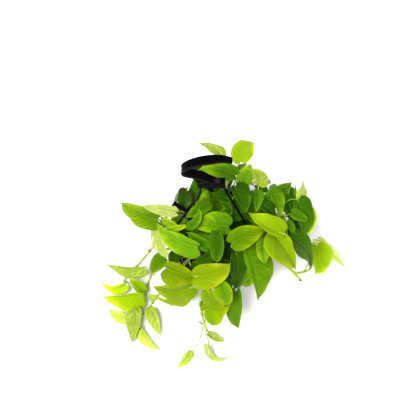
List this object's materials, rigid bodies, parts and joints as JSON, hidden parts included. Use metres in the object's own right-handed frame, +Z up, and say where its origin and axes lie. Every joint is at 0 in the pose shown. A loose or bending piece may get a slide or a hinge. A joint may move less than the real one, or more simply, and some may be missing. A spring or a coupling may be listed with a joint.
{
  "type": "potted neon pothos",
  "caption": "Trailing pothos with folded heart-shaped lime leaves in a round hanging pot, its stems lying along the surface and a black hook and arms standing over the crown.",
  "frame": {"origin": "centre of the pot's flat underside, on the surface the pot stands on", "axes": "+Z up out of the pot; +X towards the right-hand trailing stem; -Y is the front, where the short front stems trail"},
  "size_m": [0.424, 0.3367, 0.348],
  "materials": {
    "pot": "black moulded plastic, satin",
    "soil": "dark crumbly potting mix with bark",
    "hanger": "black moulded plastic, satin, ribbed",
    "stem": "smooth yellow-green, satin",
    "vine": "smooth pale yellow-green with brown nodes, satin",
    "leaf": "lime green, satin, lighter midrib and side veins",
    "leaf_shade": "mid green, satin, lighter midrib and side veins"
  },
  "bodies": {
    "root": {"arm_back": "hanger", "arm_left": "hanger", "arm_right": "hanger", "hook": "hanger", "leaf_front_1": "leaf", "leaf_front_2": "leaf", "leaf_front_3": "leaf", "leaf_front_4": "leaf", "leaf_front_5": "leaf", "leaf_front_6": "leaf", "leaf_front_7": "leaf", "leaf_front_8": "leaf", "leaf_front_9": "leaf", "leaf_left_1": "leaf", "leaf_left_2": "leaf", "leaf_left_3": "leaf", "leaf_left_4": "leaf", "leaf_left_5": "leaf", "leaf_middle_1": "leaf", "leaf_middle_2": "leaf", "leaf_middle_3": "leaf", "leaf_middle_4": "leaf", "leaf_middle_5": "leaf", "leaf_middle_6": "leaf", "leaf_middle_7": "leaf", "leaf_middle_8": "leaf", "leaf_rear_1": "leaf_shade", "leaf_rear_2": "leaf_shade", "leaf_rear_3": "leaf_shade", "leaf_rear_4": "leaf_shade", "leaf_rear_5": "leaf_shade", "leaf_rear_6": "leaf_shade", "leaf_rear_7": "leaf_shade", "leaf_right_1": "leaf_shade", "leaf_right_2": "leaf_shade", "leaf_right_3": "leaf_shade", "leaf_right_4": "leaf_shade", "leaf_right_5": "leaf_shade", "leaf_right_6": "leaf_shade", "leaf_right_7": "leaf_shade", "leaf_right_8": "leaf_shade", "leaf_top_1": "leaf", "leaf_top_2": "leaf", "leaf_top_3": "leaf", "leaf_top_4": "leaf", "leaf_top_5": "leaf", "pot": "pot", "soil": "soil", "stem_back": "stem", "stem_center": "stem", "stem_front": "stem", "stem_front_left": "stem", "stem_front_right": "stem", "stem_left": "stem", "stem_right": "stem", "vine_front": "vine", "vine_left_a": "vine", "vine_left_b": "vine", "vine_left_c": "vine", "vine_right": "vine"}
  },
  "joints": []
}
